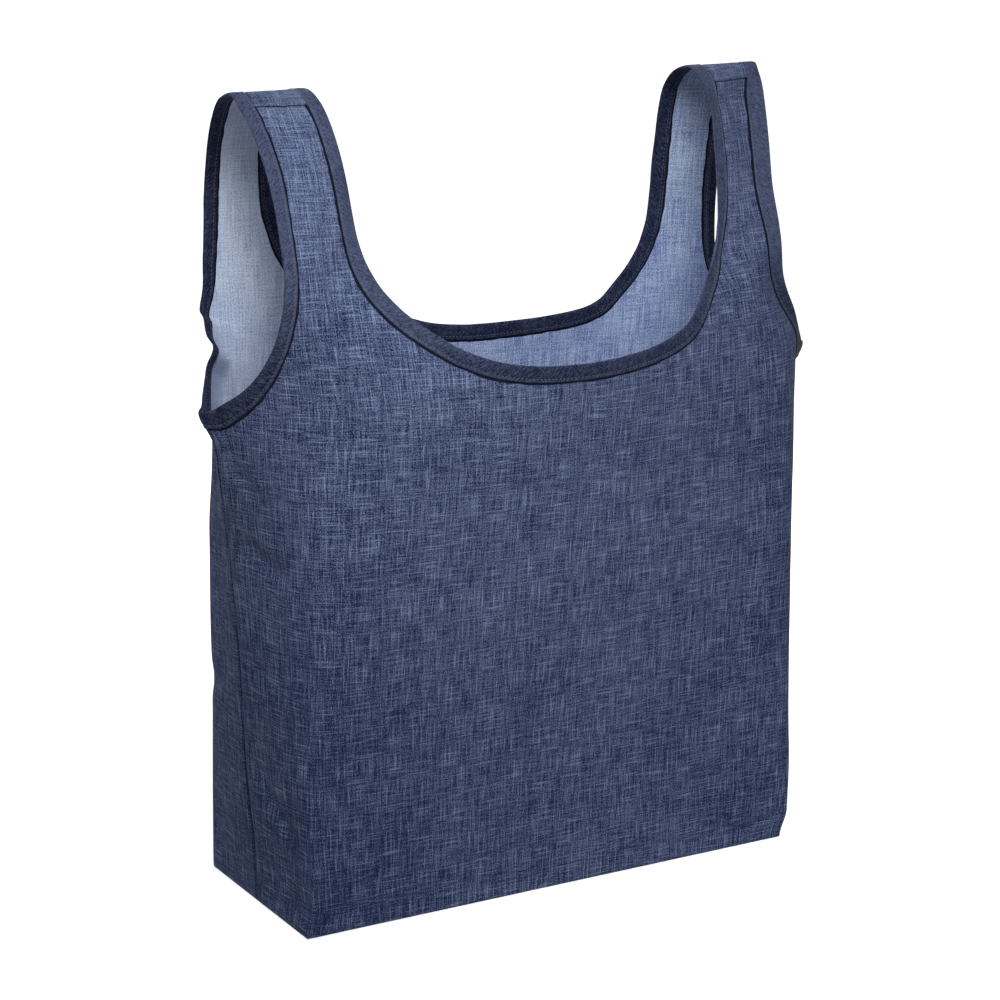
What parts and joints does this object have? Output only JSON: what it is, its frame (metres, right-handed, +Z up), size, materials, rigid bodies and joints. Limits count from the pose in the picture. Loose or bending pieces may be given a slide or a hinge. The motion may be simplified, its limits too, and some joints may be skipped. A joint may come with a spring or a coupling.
{
  "type": "shopping tote bag",
  "caption": "Soft cloth shopping tote with a flat boxed base, a wide scooped neck and shoulder straps cut in one with the body, its edges bound with folded tape.",
  "frame": {"origin": "centre of the underside of the flat base, which stands on the ground", "axes": "+Z up through the open top, front of the bag towards -Y, width along X"},
  "size_m": [0.492, 0.19, 0.5656],
  "materials": {
    "front_cloth": "matt printed plain weave, dark blue outside and pale blue inside",
    "back_cloth": "matt printed plain weave, dark blue outside and pale blue inside",
    "neck_tape": "matt twill tape",
    "left_tape": "matt twill tape",
    "right_tape": "matt twill tape"
  },
  "bodies": {
    "root": {"front_panel": "front_cloth", "back_panel": "back_cloth", "neck_binding": "neck_tape", "left_armhole_binding": "left_tape", "right_armhole_binding": "right_tape"}
  },
  "joints": []
}
